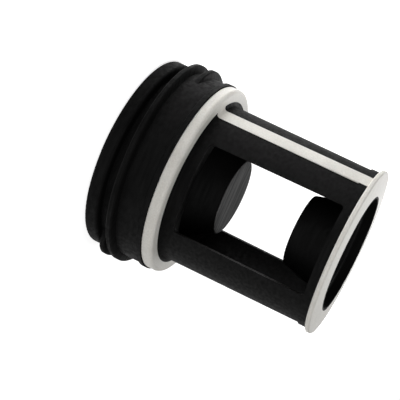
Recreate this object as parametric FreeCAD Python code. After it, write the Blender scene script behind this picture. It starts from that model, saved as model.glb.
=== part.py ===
import FreeCAD, Part
import math
import os

# Drain pump filter of a washing machine.
# The axis is +Z. The filter stands on the rim of its head at z = 0, and the open end is on top.
# The windows of the cage face -Y and +Y. Angles run counter-clockwise about +Z, from +X, in degrees.
# Lengths are in millimetres. The radius of the cage's root drives every other radius: each of them is
# a step from the one beside it, so a wider or narrower filter keeps its walls.

# Cage: tapered wall with two windows, and an end collar that carries the end ring of the seal
wall_root_radius = 23.0
wall_taper = 0.5
wall_thickness = 2.0
root_fillet = 0.8
root_ledge = 4.2
window_gap = 3.25
window_length = 38.0
window_width = 24.9
window_corner = 1.0
end_collar_step = 0.35
end_collar_height = 2.5
end_ledge = 6.3
end_lip = 0.6

# Front ring of the seal and its seat
seat_step = 1.3
ring_thickness = 3.2
ring_height = 3.2
ring_front_round = 1.1
ring_rear_round = 0.3

# Head: collar, barrel, relief groove and rim flange, from the ring down
collar_step = 0.4
collar_height = 1.4
collar_round = 0.15
barrel_step = 0.5
barrel_height = 9.05
groove_depth = 2.2
groove_width = 3.2
groove_round = 0.3
flange_step = 0.3
flange_height = 3.8
flange_rear_round = 0.4
flange_front_round = 0.8

# Thread rib on the barrel: one right-hand start, one lead above the flange at the front
rib_height = 2.1
rib_crest_width = 1.65
rib_crest_chamfer = 0.35
rib_foot_width = 3.4
rib_foot_depth = 0.25
rib_lead = 4.0
rib_front_angle = 262.8
rib_start_angle = -37.0
rib_end_angle = 590.0
rib_start_ramp = 20.0
rib_end_ramp = 48.0
rib_ramp_steps = 6
rib_turn_steps = 36

# Grip side of the head: a cup with a cone in its floor and a bar across it
head_wall = 3.6
cup_floor_setback = 1.0
cup_draft = 0.5
cup_floor_round = 1.2
cup_mouth_chamfer = 0.4
plate_thickness = 2.6
cone_wall = 2.2
bar_width = 4.4
bar_foot_width = 6.4
bar_setback = 0.8
bar_round = 1.2

# Cone that stands into the cage from the head
cone_trough = 1.6
cone_rise = 6.5
cone_half_angle = 28.8
cone_tip_round = 0.5

# Funnel that stands into the cage from the open end
funnel_ledge = 4.25
funnel_length = 12.8
funnel_half_angle = 14.8
funnel_wall = 1.5
funnel_lip_round = 0.5
web_thickness = 1.8

# End ring of the seal
end_ring_step = 1.3
end_ring_rim_thickness = 1.35
end_ring_inner_thickness = 1.7
end_ring_round = 0.4

# Strip of the seal that joins the two rings
strip_width = 4.7
strip_depth = 1.0
strip_angle = -152.0
strip_overlap = 2.0

# Radii that follow from the steps
wall_end_radius = wall_root_radius - wall_taper
seat_radius = wall_root_radius + seat_step
ring_radius = seat_radius + ring_thickness
collar_radius = ring_radius + collar_step
barrel_radius = collar_radius - barrel_step
groove_radius = barrel_radius - groove_depth
flange_radius = barrel_radius + flange_step
rib_crest_radius = barrel_radius + rib_height
cup_radius = barrel_radius - head_wall
root_inner_radius = wall_root_radius - root_ledge
end_collar_radius = wall_end_radius + end_collar_step
end_bore_radius = wall_end_radius - end_ledge
end_lip_radius = end_bore_radius + end_lip
end_ring_radius = wall_end_radius + end_ring_step
funnel_mouth_radius = end_bore_radius - funnel_ledge
cone_base_radius = root_inner_radius - cone_trough

# Heights that follow from the sizes, from the bottom up
groove_top = flange_height + groove_width
barrel_top = groove_top + barrel_height
ring_bottom = barrel_top + collar_height
ring_top = ring_bottom + ring_height
window_bottom = ring_top + window_gap
window_top = window_bottom + window_length
body_top = window_top + end_collar_height
lip_top = body_top + end_ring_inner_thickness
web_top = window_top + web_thickness
funnel_tip_z = web_top - funnel_length
cup_floor_z = ring_bottom - cup_floor_setback
plate_top = cup_floor_z + plate_thickness
cone_tip_z = window_bottom + cone_rise

BOTTOM_UP = FreeCAD.Vector(0, 0, 1)
ORIGIN = FreeCAD.Vector(0, 0, 0)
FULL_TURN = 360.0
SAME_POINT = 1e-6
cutter_reach = 2 * rib_crest_radius


def tangent(angle):
    return math.tan(math.radians(angle))


def rounded_wire(corners, place):
    """Close a wire through corners (a, b, radius), with an arc of that radius at each corner that has one."""
    count = len(corners)
    points = [FreeCAD.Vector(a, b, 0) for a, b, radius in corners]
    starts = []
    ends = []
    middles = []
    for i in range(count):
        corner = points[i]
        radius = corners[i][2]
        back = (points[i - 1] - corner).normalize()
        ahead = (points[(i + 1) % count] - corner).normalize()
        half = 0.5 * back.getAngle(ahead)
        setback = radius / math.tan(half) if radius else 0.0
        bisector = (back + ahead).normalize() if radius else ORIGIN
        reach = radius / math.sin(half) - radius if radius else 0.0
        starts.append(corner + back * setback)
        ends.append(corner + ahead * setback)
        middles.append(corner + bisector * reach)
    edges = []
    for i in range(count):
        if corners[i][2]:
            edges.append(Part.Arc(place(starts[i]), place(middles[i]), place(ends[i])).toShape())
        following = starts[(i + 1) % count]
        if ends[i].distanceToPoint(following) > SAME_POINT:
            edges.append(Part.LineSegment(place(ends[i]), place(following)).toShape())
    return Part.Wire(edges)


def turned(corners):
    """Turn a half section, given as (radius, height, round), about the axis into a solid."""
    wire = rounded_wire(corners, lambda p: FreeCAD.Vector(p.x, 0, p.y))
    return Part.Face(wire).revolve(ORIGIN, BOTTOM_UP, FULL_TURN)


def wall_radius(z):
    """Outer radius of the tapered cage wall."""
    share = (z - ring_top) / (window_top - ring_top)
    return wall_root_radius - share * wall_taper


def cone_radius(z):
    """Outer radius of the cone that stands into the cage."""
    return cone_base_radius - (z - plate_top) * tangent(cone_half_angle)


def funnel_radius(z):
    """Inner radius of the funnel."""
    return funnel_mouth_radius - (web_top - z) * tangent(funnel_half_angle)


def outer_form():
    """The whole outside of the body, still solid."""
    return turned([
        (0, 0, 0),
        (flange_radius, 0, flange_rear_round),
        (flange_radius, flange_height, flange_front_round),
        (groove_radius, flange_height, groove_round),
        (groove_radius, groove_top, groove_round),
        (barrel_radius, groove_top, groove_round),
        (barrel_radius, barrel_top, 0),
        (collar_radius, barrel_top, collar_round),
        (collar_radius, ring_bottom, 0),
        (seat_radius, ring_bottom, 0),
        (seat_radius, ring_top, 0),
        (wall_root_radius, ring_top, root_fillet),
        (wall_end_radius, window_top, 0),
        (end_collar_radius, window_top, 0),
        (end_collar_radius, body_top, 0),
        (end_lip_radius, body_top, 0),
        (end_lip_radius, lip_top, 0),
        (0, lip_top, 0),
    ])


def grip_cup():
    """The hollow of the head: a drafted cup, and a cone in its floor that follows the cone outside."""
    slant = cone_wall / math.cos(math.radians(cone_half_angle))
    well_top = cone_tip_z - cone_wall
    floor_radius = cup_radius - cup_floor_z * tangent(cup_draft)
    return turned([
        (0, 0, 0),
        (cup_radius, 0, 0),
        (floor_radius, cup_floor_z, cup_floor_round),
        (cone_radius(cup_floor_z) - slant, cup_floor_z, cup_floor_round),
        (cone_radius(well_top) - slant, well_top, cup_floor_round),
        (0, well_top, 0),
    ])


def cup_mouth():
    """The ring of material that the chamfer at the mouth of the cup takes off."""
    inner = cup_radius - cup_mouth_chamfer
    return turned([
        (inner, 0, 0),
        (cup_radius + cup_mouth_chamfer, 0, 0),
        (cup_radius, cup_mouth_chamfer, 0),
        (inner, cup_mouth_chamfer, 0),
    ])


def chamber():
    """The hollow of the cage round the cone and the funnel."""
    return turned([
        (0, cone_tip_z, 0),
        (cone_radius(cone_tip_z), cone_tip_z, cone_tip_round),
        (cone_base_radius, plate_top, 0),
        (root_inner_radius, plate_top, 0),
        (root_inner_radius, window_bottom, 0),
        (wall_radius(window_bottom) - wall_thickness, window_bottom, 0),
        (wall_radius(window_top) - wall_thickness, window_top, 0),
        (funnel_radius(window_top) + funnel_wall, window_top, 0),
        (funnel_radius(funnel_tip_z) + funnel_wall, funnel_tip_z, funnel_lip_round),
        (0, funnel_tip_z, 0),
    ])


def throat():
    """The way out through the funnel, and the shallow recess of the end round its mouth."""
    return turned([
        (0, funnel_tip_z, 0),
        (funnel_radius(funnel_tip_z), funnel_tip_z, 0),
        (funnel_mouth_radius, web_top, funnel_lip_round),
        (end_bore_radius, web_top, 0),
        (end_bore_radius, lip_top, 0),
        (0, lip_top, 0),
    ])


def windows():
    """Two opposite cuts with rounded corners through the cage wall."""
    half = window_width / 2
    outline = rounded_wire(
        [(-half, window_bottom, window_corner), (half, window_bottom, window_corner),
         (half, window_top, window_corner), (-half, window_top, window_corner)],
        lambda p: FreeCAD.Vector(p.x, -cutter_reach, p.y))
    through = Part.Face(outline).extrude(FreeCAD.Vector(0, 2 * cutter_reach, 0))
    core = Part.makeCylinder(root_inner_radius, body_top)
    return through.cut(core)


def grip_bar(cup):
    """The bar across the cup, drafted towards the hand and trimmed to the cup's own walls."""
    half = bar_width / 2
    half_foot = bar_foot_width / 2
    section = rounded_wire(
        [(-half, bar_setback, bar_round), (half, bar_setback, bar_round),
         (half_foot, cone_tip_z, 0), (-half_foot, cone_tip_z, 0)],
        lambda p: FreeCAD.Vector(p.x, -cutter_reach, p.y))
    return Part.Face(section).extrude(FreeCAD.Vector(0, 2 * cutter_reach, 0)).common(cup)


def ramp(distance, length):
    """A smooth rise from 0 to 1 over a length."""
    share = min(max(distance / length, 0.0), 1.0)
    return share * share * (3 - 2 * share)


def rib_section(angle):
    """The thread rib's section at an angle. It sinks below the groove at both ends of the thread."""
    lift = ramp(angle - rib_start_angle, rib_start_ramp) * ramp(rib_end_angle - angle, rib_end_ramp)
    middle = flange_height + rib_lead * (1 + (angle - rib_front_angle) / FULL_TURN)
    sunk = groove_radius - rib_foot_depth
    foot = sunk - rib_foot_depth
    crest = sunk + lift * (rib_crest_radius - sunk)
    shoulder = crest - lift * rib_crest_chamfer
    half_foot = rib_foot_width / 2
    half_crest = rib_crest_width / 2
    half_top = half_crest - rib_crest_chamfer
    corners = [(foot, -half_foot), (shoulder, -half_crest), (crest, -half_top),
               (crest, half_top), (shoulder, half_crest), (foot, half_foot)]
    across = FreeCAD.Vector(math.cos(math.radians(angle)), math.sin(math.radians(angle)), 0)
    points = [across * radius + BOTTOM_UP * (middle + rise) for radius, rise in corners]
    return Part.makePolygon(points + points[:1])


def spread(first, last, steps):
    """Evenly spaced values from first up to last, without last itself."""
    return [first + (last - first) * i / steps for i in range(steps)]


def thread_rib():
    """The rib through sections that lie close together in the ramps at its two ends."""
    full_start = rib_start_angle + rib_start_ramp
    full_end = rib_end_angle - rib_end_ramp
    angles = spread(rib_start_angle, full_start, rib_ramp_steps)
    angles += spread(full_start, full_end, rib_turn_steps)
    angles += spread(full_end, rib_end_angle, rib_ramp_steps) + [rib_end_angle]
    return Part.makeLoft([rib_section(angle) for angle in angles], True, False)


def seal():
    """Front ring, strip and end ring, moulded in one onto the body."""
    front = turned([
        (seat_radius, ring_bottom, 0),
        (ring_radius, ring_bottom, ring_rear_round),
        (ring_radius, ring_top, ring_front_round),
        (seat_radius, ring_top, 0),
    ])
    end = turned([
        (end_lip_radius, body_top, 0),
        (end_ring_radius, body_top, end_ring_round),
        (end_ring_radius, body_top + end_ring_rim_thickness, end_ring_round),
        (end_lip_radius, lip_top, 0),
    ])
    skin = turned([
        (wall_root_radius - strip_depth, ring_top - strip_overlap, 0),
        (seat_radius, ring_top - strip_overlap, 0),
        (seat_radius, ring_top, 0),
        (wall_root_radius, ring_top, root_fillet),
        (end_collar_radius, body_top, 0),
        (end_collar_radius - strip_depth, body_top, 0),
    ])
    slab = Part.makeBox(cutter_reach, strip_width, 2 * body_top, FreeCAD.Vector(0, -strip_width / 2, 0))
    slab.rotate(ORIGIN, BOTTOM_UP, strip_angle)
    strip = skin.common(slab)
    return front.fuse([strip, end]).removeSplitter()


def filter_body(soft):
    cup = grip_cup()
    hollowed = outer_form().cut([cup, cup_mouth(), chamber(), throat(), windows()])
    return hollowed.fuse([grip_bar(cup), thread_rib()]).cut(soft)


def save(node, shape):
    solids = shape.Solids
    print(node, "solids", len(solids), "valid", shape.isValid(), "volume", round(shape.Volume, 1), shape.BoundBox)
    body = solids[0] if len(solids) == 1 else Part.makeCompound(solids)
    body.exportStep("parts/" + node + ".step")


os.makedirs("parts", exist_ok=True)
soft_seal = seal()
save("seal", soft_seal)
save("filter_body", filter_body(soft_seal))
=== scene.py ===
# %% [markdown]
# # A drain pump filter on a pale floor
#
# This lesson dresses the CAD model of a washing machine's drain pump filter. The model has two
# pieces: the black body, and the white seal that is moulded onto it. Both shapes come from CAD at
# their real size, so the work in Blender is finish, camera and light. We load the model and keep
# its box before anything is added.

import bpy
from mathutils import Matrix, Vector


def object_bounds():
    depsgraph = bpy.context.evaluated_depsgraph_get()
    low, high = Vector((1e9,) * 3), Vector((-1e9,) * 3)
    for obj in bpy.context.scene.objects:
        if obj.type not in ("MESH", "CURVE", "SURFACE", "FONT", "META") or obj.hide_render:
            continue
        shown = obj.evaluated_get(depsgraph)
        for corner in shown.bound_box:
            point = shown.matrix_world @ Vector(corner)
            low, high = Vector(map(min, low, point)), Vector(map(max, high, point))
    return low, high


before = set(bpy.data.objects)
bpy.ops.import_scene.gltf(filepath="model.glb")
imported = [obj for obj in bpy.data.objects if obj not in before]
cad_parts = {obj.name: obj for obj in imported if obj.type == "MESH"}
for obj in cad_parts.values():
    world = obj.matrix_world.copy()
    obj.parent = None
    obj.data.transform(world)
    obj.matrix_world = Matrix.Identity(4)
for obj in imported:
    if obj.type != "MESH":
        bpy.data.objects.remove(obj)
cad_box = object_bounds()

MM = 0.001
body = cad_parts["filter_body"]
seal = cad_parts["seal"]
print("CAD box in mm:", [[round(v / MM, 1) for v in corner] for corner in cad_box])

# %% [markdown]
# ## Helpers for every finish
#
# Colours are written as sRGB hex values, as a paint shop or a picture editor gives them. Blender's
# shaders count in linear light, so one function turns the one into the other. A material is a small
# graph of nodes. We could write out each node, setting and link by hand, but one helper that adds a
# node with its settings and plugs in its links keeps each material short enough to read from top to
# bottom. Patterns are sized in millimetres, and the last helper turns such a size into the scale
# that a noise node asks for.

# %% Colour, node and scale helpers
def linear(hex_code):
    """Turn an sRGB hex value such as 'd8d4ca' into linear RGBA."""
    shares = [int(hex_code[i:i + 2], 16) / 255 for i in (0, 2, 4)]
    return [s / 12.92 if s <= 0.04045 else ((s + 0.055) / 1.055) ** 2.4 for s in shares] + [1.0]


def add(tree, kind, inputs=None, **settings):
    """Add a node, set its properties, and give each named input a value or another node's output."""
    node = tree.nodes.new(kind)
    for name, value in settings.items():
        setattr(node, name, value)
    for name, value in (inputs or {}).items():
        if isinstance(value, bpy.types.NodeSocket):
            tree.links.new(value, node.inputs[name])
        else:
            node.inputs[name].default_value = value
    return node


def new_material(name):
    """Make an empty node material and return it with its tree."""
    material = bpy.data.materials.new(name)
    material.use_nodes = True
    material.node_tree.nodes.clear()
    return material, material.node_tree


def per_metre(size_mm):
    """Scale of a pattern whose marks are this many millimetres across. Object coordinates are metres."""
    return 1 / (size_mm * MM)


print("mid grey 808080 in linear light:", round(linear("808080")[0], 3))

# %% [markdown]
# ## Black moulded polypropylene
#
# The body is injection-moulded polypropylene, coloured through with carbon black. It comes out of a
# steel mould whose spark-eroded walls leave a fine, even grain, so the plastic has a soft, dull
# sheen and no mirror image. We could paint the sheen as a lighter colour, but then it would stay in
# place when the light moves. A nearly black base with a grained bump and a roughness that varies a
# little lets the lamps draw it.
#
# Polypropylene has an IOR of about 1.49, and a smooth moulding has a roughness near 0.5. Matched to
# the real filter, the sheen is wider and much weaker, because the grain scatters most of the light
# that a smooth face would mirror. So the roughness is higher, and the specular level lies well
# below its usual 0.5.
#
# The mould's real grain is about 0.1 mm, finer than a pixel of the picture, so it is drawn at 0.45
# mm. The melt also leaves slow drifts of tone, some millimetres wide, where it cooled at different
# speeds, and faint streaks where it was drawn out on its way through the mould. The streaks are
# noise that is stretched along one axis. They change the roughness alone, so they show best on the
# flat top of the cone, which catches a sheen.

# %% Lay out the plastic's patterns
GRAIN_MM = 0.45
DRIFT_MM = 7.0
STREAK_LENGTH_MM = 16.0
STREAK_WIDTH_MM = 0.9

black_plastic, tree = new_material("moulded polypropylene, black")
place = add(tree, "ShaderNodeTexCoord").outputs["Object"]
grain = add(tree, "ShaderNodeTexNoise", {
    "Vector": place, "Scale": per_metre(GRAIN_MM), "Detail": 2.0, "Roughness": 0.5})
drift = add(tree, "ShaderNodeTexNoise", {
    "Vector": place, "Scale": per_metre(DRIFT_MM), "Detail": 3.0, "Roughness": 0.55})
drawn_out = add(tree, "ShaderNodeMapping", {
    "Vector": place,
    "Scale": (per_metre(STREAK_LENGTH_MM), per_metre(STREAK_WIDTH_MM), per_metre(STREAK_WIDTH_MM))})
streaks = add(tree, "ShaderNodeTexNoise", {
    "Vector": drawn_out.outputs["Vector"], "Scale": 1.0, "Detail": 2.0, "Roughness": 0.5})
print("patterns in mm: grain", GRAIN_MM, "drifts", DRIFT_MM, "streaks", STREAK_LENGTH_MM)

# %% Make the polypropylene
TONE_SPAN = (0.35, 0.65)    # levels of a noise that get the darkest and the lightest tone
GLOSS_SPAN = (0.3, 0.7)     # levels of a noise that get the least and the most roughness
BLACK_TONES = ("040404", "070707")
BLACK_ROUGHNESS = (0.62, 0.84)
GRAIN_HEIGHT_MM = 0.012

tone = add(tree, "ShaderNodeValToRGB", {"Fac": drift.outputs["Fac"]})
for stop, level, colour in zip(tone.color_ramp.elements, TONE_SPAN, BLACK_TONES):
    stop.position = level
    stop.color = linear(colour)
gloss = add(tree, "ShaderNodeMapRange", {
    "Value": streaks.outputs["Fac"],
    "From Min": GLOSS_SPAN[0], "From Max": GLOSS_SPAN[1],
    "To Min": BLACK_ROUGHNESS[0], "To Max": BLACK_ROUGHNESS[1]})
bump = add(tree, "ShaderNodeBump", {
    "Height": grain.outputs["Fac"], "Strength": 0.5, "Distance": GRAIN_HEIGHT_MM * MM})
skin = add(tree, "ShaderNodeBsdfPrincipled", {
    "Base Color": tone.outputs["Color"],
    "Roughness": gloss.outputs["Result"],
    "IOR": 1.49,
    "Specular IOR Level": 0.1,
    "Normal": bump.outputs["Normal"]})
add(tree, "ShaderNodeOutputMaterial", {"Surface": skin.outputs["BSDF"]})
print("made", black_plastic.name, "with", len(tree.nodes), "nodes")

# %% [markdown]
# ## White thermoplastic elastomer
#
# The seal is a soft elastomer that is shot into the mould after the body, so that it runs through
# the strip from one ring to the other and grips the plastic. It is matt, a little warm in colour,
# and light goes a short way into it before it comes back, which softens its edges. A plain white
# colour would look like painted metal, so we add subsurface scattering of about half a millimetre,
# in which red goes a little further than blue.
#
# Its tone is mottled in two sizes at once: broad clouds, where the melt met itself, and a grain as
# fine as the picture can show. The mean of two noises gives both.

# %% Lay out the elastomer's patterns
SOFT_GRAIN_MM = 0.45
CLOUD_MM = 9.0

white_elastomer, tree = new_material("moulded elastomer, white")
place = add(tree, "ShaderNodeTexCoord").outputs["Object"]
soft_grain = add(tree, "ShaderNodeTexNoise", {
    "Vector": place, "Scale": per_metre(SOFT_GRAIN_MM), "Detail": 2.0, "Roughness": 0.5})
cloud = add(tree, "ShaderNodeTexNoise", {
    "Vector": place, "Scale": per_metre(CLOUD_MM), "Detail": 3.0, "Roughness": 0.55})
both_sizes = add(tree, "ShaderNodeMath", {
    0: cloud.outputs["Fac"], 1: soft_grain.outputs["Fac"]}, operation="ADD")
mottle = add(tree, "ShaderNodeMath", {0: both_sizes.outputs["Value"], 1: 0.5}, operation="MULTIPLY")
print("grain", SOFT_GRAIN_MM, "mm, clouds", CLOUD_MM, "mm")

# %% Make the elastomer
WHITE_TONES = ("d0cdc6", "e2e0da")
WHITE_ROUGHNESS = (0.52, 0.60)
SOFT_GRAIN_HEIGHT_MM = 0.02
SCATTER_MM = 0.6

tone = add(tree, "ShaderNodeValToRGB", {"Fac": mottle.outputs["Value"]})
for stop, level, colour in zip(tone.color_ramp.elements, TONE_SPAN, WHITE_TONES):
    stop.position = level
    stop.color = linear(colour)
matt = add(tree, "ShaderNodeMapRange", {
    "Value": cloud.outputs["Fac"],
    "From Min": GLOSS_SPAN[0], "From Max": GLOSS_SPAN[1],
    "To Min": WHITE_ROUGHNESS[0], "To Max": WHITE_ROUGHNESS[1]})
bump = add(tree, "ShaderNodeBump", {
    "Height": soft_grain.outputs["Fac"], "Strength": 0.4, "Distance": SOFT_GRAIN_HEIGHT_MM * MM})
skin = add(tree, "ShaderNodeBsdfPrincipled", {
    "Base Color": tone.outputs["Color"],
    "Roughness": matt.outputs["Result"],
    "IOR": 1.48,
    "Subsurface Weight": 0.3,
    "Subsurface Radius": (1.0, 0.9, 0.8),
    "Subsurface Scale": SCATTER_MM * MM,
    "Normal": bump.outputs["Normal"]})
add(tree, "ShaderNodeOutputMaterial", {"Surface": skin.outputs["BSDF"]})
print("made", white_elastomer.name, "with", len(tree.nodes), "nodes")

# %% [markdown]
# ## Put the finishes on
#
# Each CAD piece has one material slot. We could paint faces one by one, but each piece is of one
# material throughout. So its mesh stays as CAD made it, and only the slot's material changes.

# %% Assign the materials
for piece, finish in [(body, black_plastic), (seal, white_elastomer)]:
    for slot in piece.material_slots:
        slot.material = finish
    print(piece.name, "wears", [slot.material.name for slot in piece.material_slots])

# %% [markdown]
# ## Camera
#
# The filter stands on its head here, as it would on a bench, and the camera is rolled so that the
# filter's axis runs to the right and down. Its place, lens and roll were found by fitting the
# circles of the filter's edges to the picture. A camera could be aimed with a constraint, but three
# directions in a matrix say the roll as well.

# %% Set the camera
FRAME_PX = 400
FOCAL_PX = 1072.5
SENSOR_MM = 36.0
eye_mm = Vector((-35.91, -284.28, 99.62))
image_right = Vector((-0.39794, 0.29394, 0.86907)).normalized()
look = Vector((0.13616, 0.95571, -0.26090)).normalized()
image_up = image_right.cross(look).normalized()

lens = bpy.data.cameras.new("bench camera")
lens.sensor_width = SENSOR_MM
lens.lens = SENSOR_MM * FOCAL_PX / FRAME_PX
camera = bpy.data.objects.new("bench camera", lens)
turn = Matrix((image_right, image_up, -look)).transposed()
camera.matrix_world = Matrix.Translation(eye_mm * MM) @ turn.to_4x4()
bpy.context.scene.collection.objects.link(camera)
bpy.context.scene.camera = camera
print("lens in mm:", round(lens.lens, 1))

# %% [markdown]
# ## Floor
#
# A sheet of matt white paper carries the filter and fills the picture behind it. Paper that is lit
# as plainly as the filter would come out pale grey, so it glows a little for the camera and for
# reflections. More light would whiten the paper too, but it would also wash out the seal. The glow
# is added to the paper's own light, so the shadow of the filter stays on it.

# %% Make the paper
PAPER_GLOW = 0.69

paper, tree = new_material("matt white paper")
path = add(tree, "ShaderNodeLightPath")
seen = add(tree, "ShaderNodeMath", {
    0: path.outputs["Is Camera Ray"], 1: path.outputs["Is Glossy Ray"]}, operation="MAXIMUM")
seen = add(tree, "ShaderNodeMath", {
    0: seen.outputs["Value"], 1: path.outputs["Is Transmission Ray"]}, operation="MAXIMUM")
strength = add(tree, "ShaderNodeMath", {0: seen.outputs["Value"], 1: PAPER_GLOW}, operation="MULTIPLY")
sheet = add(tree, "ShaderNodeBsdfDiffuse", {"Color": linear("f2f2f2")})
glow = add(tree, "ShaderNodeEmission", {"Color": linear("ffffff"), "Strength": strength.outputs["Value"]})
lit_sheet = add(tree, "ShaderNodeAddShader", {0: sheet.outputs["BSDF"], 1: glow.outputs["Emission"]})
add(tree, "ShaderNodeOutputMaterial", {"Surface": lit_sheet.outputs["Shader"]})
print("made", paper.name, "with", len(tree.nodes), "nodes")

# %% [markdown]
# The sheet is one large square face, wide enough that no view sees its edge. It lies a hair under
# the rim, so that the two flat faces don't share one plane.

# %% Lay the sheet
FLOOR_HALF_M = 20.0
FLOOR_DROP_MM = 0.05

signs = [(-1, -1), (1, -1), (1, 1), (-1, 1)]
corners = [(x * FLOOR_HALF_M, y * FLOOR_HALF_M, -FLOOR_DROP_MM * MM) for x, y in signs]
floor_mesh = bpy.data.meshes.new("floor")
floor_mesh.from_pydata(corners, [], [(0, 1, 2, 3)])
floor_mesh.materials.append(paper)
floor = bpy.data.objects.new("floor", floor_mesh)
bpy.context.scene.collection.objects.link(floor)
print("floor laid,", 2 * FLOOR_HALF_M, "m wide")

# %% [markdown]
# ## Soft lamps
#
# Black satin plastic is drawn by what it mirrors. The top of the cone faces up and mirrors what is
# behind the filter, so a back lamp gives it its sheen. A wide fill lamp beside the camera and a
# weak one overhead shade the white rings. Small lamps would throw hard spots on the rings, so all
# three are square area lamps.

# %% Hang the soft lamps
target = (Vector(cad_box[0]) + Vector(cad_box[1])) / 2


def soft_lamp(name, place_mm, width_mm, watts):
    """Hang a square area lamp that faces the middle of the filter."""
    light = bpy.data.lights.new(name, "AREA")
    light.size = width_mm * MM
    light.energy = watts
    lamp = bpy.data.objects.new(name, light)
    lamp.location = Vector(place_mm) * MM
    lamp.rotation_euler = (target - lamp.location).to_track_quat("-Z", "Y").to_euler()
    bpy.context.scene.collection.objects.link(lamp)
    print(name, "at", place_mm, "mm,", watts, "W")


soft_lamp("fill lamp", place_mm=(160, -450, 290), width_mm=300, watts=0.8)
soft_lamp("back lamp", place_mm=(-60, 700, 260), width_mm=400, watts=2.0)
soft_lamp("top lamp", place_mm=(-40, -60, 650), width_mm=300, watts=0.2)

# %% [markdown]
# ## A bright pool on the paper
#
# Upright walls that are seen from a little above mirror the paper beside them. So the sheen on the
# side that is the top of the picture comes from a brighter pool on the paper there. A spot lamp
# makes that pool from straight above and doesn't touch the filter, but the paper throws its light
# back onto the white strip. A lamp that shone on the wall itself would whiten the strip long before
# the black plastic showed a sheen.

# %% Light the pool
POOL_LAMP_MM = (-165, 10, 600)
POOL_WATTS = 40
POOL_ANGLE = 0.46           # full angle of the cone of light, in radians
POOL_SOFT_EDGE = 0.4        # share of the pool that fades out
BULB_RADIUS_MM = 20

pool_light = bpy.data.lights.new("pool lamp", "SPOT")
pool_light.energy = POOL_WATTS
pool_light.spot_size = POOL_ANGLE
pool_light.spot_blend = POOL_SOFT_EDGE
pool_light.shadow_soft_size = BULB_RADIUS_MM * MM
pool_lamp = bpy.data.objects.new("pool lamp", pool_light)
pool_lamp.location = Vector(POOL_LAMP_MM) * MM
bpy.context.scene.collection.objects.link(pool_lamp)
print("pool lamp at", POOL_LAMP_MM, "mm, straight down,", POOL_WATTS, "W")

# %% [markdown]
# ## The room
#
# An even grey world stands for the walls of the room and keeps the shadows open. A picture of a
# room could do that too, but it would show in the sheen. The Standard view transform shows each
# colour as it is written.

# %% Set the room
ROOM_STRENGTH = 0.36

world = bpy.data.worlds.new("room")
world.use_nodes = True
room = world.node_tree.nodes["Background"].inputs
room["Color"].default_value = linear("ffffff")
room["Strength"].default_value = ROOM_STRENGTH
bpy.context.scene.world = world
bpy.context.scene.view_settings.view_transform = "Standard"
print("room at strength", ROOM_STRENGTH)
